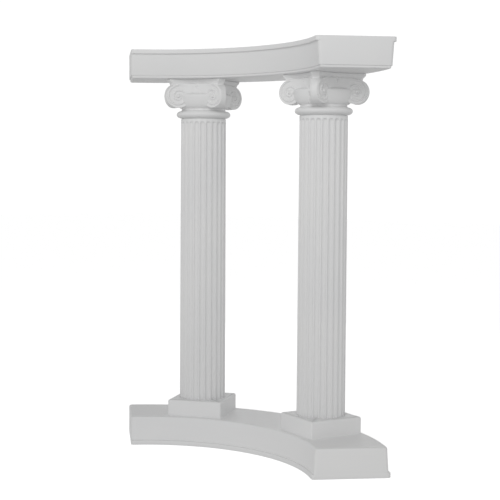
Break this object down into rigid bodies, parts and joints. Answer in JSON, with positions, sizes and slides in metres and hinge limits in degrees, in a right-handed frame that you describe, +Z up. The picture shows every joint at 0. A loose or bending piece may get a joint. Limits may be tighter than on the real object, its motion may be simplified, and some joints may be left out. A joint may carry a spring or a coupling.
{
  "type": "curved colonnade section",
  "caption": "Curved section of a white moulded colonnade: low curved base, fluted columns with corner-volute capitals, and a curved entablature; joins on at both ends into a ring.",
  "frame": {"origin": "on the floor, at the middle of the footprint's bounding box", "axes": "+Z up along the columns; -Y towards the hollow of the curve, the side the section faces; +X to the right seen from that side"},
  "size_m": [1.8656, 0.6812, 2.29],
  "materials": {
    "tray_plastic": "smooth moulded white, slight sheen",
    "column_plastic": "smooth moulded white, slight sheen"
  },
  "bodies": {
    "root": {"base": "tray_plastic", "shaft_left": "column_plastic", "shaft_right": "column_plastic", "capital_left": "column_plastic", "capital_right": "column_plastic", "entablature": "tray_plastic"}
  },
  "joints": []
}
